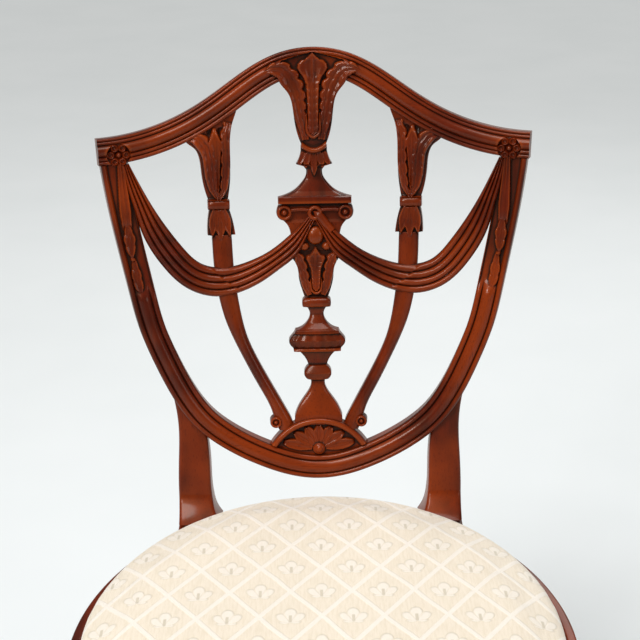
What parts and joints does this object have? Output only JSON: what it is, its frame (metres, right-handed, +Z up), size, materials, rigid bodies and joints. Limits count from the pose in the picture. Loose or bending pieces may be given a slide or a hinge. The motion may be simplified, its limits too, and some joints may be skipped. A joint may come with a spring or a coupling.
{
  "type": "dining chair",
  "caption": "Carved shield back side chair with a pierced splat, hanging cloth swags, tapered fluted front legs, swept rear legs and a lift-out upholstered seat",
  "frame": {"origin": "on the floor, under the middle of the chair's overall box", "axes": "+X is the right of the chair as seen from in front of it, +Y points to its back, +Z is up"},
  "size_m": [0.524, 0.613, 1],
  "materials": {
    "polished_mahogany": "red-brown mahogany, carved, French polished to a satin gloss, darker in the hollows",
    "beech": "sawn beech, bare",
    "cream_damask": "cream woven damask with a raised diamond trellis and a small floral figure",
    "hair_stuffing": "curled hair pad under calico",
    "jute_webbing": "herringbone jute webbing",
    "hessian": "plain woven hessian",
    "black_lining": "black cambric lining",
    "steel": "plain steel screws and tacks"
  },
  "bodies": {
    "chair_frame": {"base_rail_dowels": "beech", "centre_splat": "polished_mahogany", "corner_block_screws": "steel", "crest_rail": "polished_mahogany", "front_corner_block_left": "beech", "front_corner_block_right": "beech", "front_leg_left": "polished_mahogany", "front_leg_right": "polished_mahogany", "front_seat_rail": "polished_mahogany", "lunette": "polished_mahogany", "rear_corner_block_left": "beech", "rear_corner_block_right": "beech", "rear_seat_rail": "polished_mahogany", "rear_upright_left": "polished_mahogany", "rear_upright_right": "polished_mahogany", "shield_base_rail": "polished_mahogany", "side_seat_rail_left": "polished_mahogany", "side_seat_rail_right": "polished_mahogany", "side_splat_left": "polished_mahogany", "side_splat_right": "polished_mahogany", "swag_left": "polished_mahogany", "swag_right": "polished_mahogany"},
    "seat": {"dust_cover": "black_lining", "dust_cover_tacks": "steel", "seat_cover": "cream_damask", "seat_frame_front": "beech", "seat_frame_rear": "beech", "seat_frame_side_left": "beech", "seat_frame_side_right": "beech", "seat_hessian": "hessian", "seat_stuffing": "hair_stuffing", "seat_webbing": "jute_webbing"}
  },
  "joints": [
    {"name": "seat_lift", "type": "slide", "parent": "chair_frame", "child": "seat", "axis": [0, 0, 1], "range_m": [0, 0.02]}
  ]
}
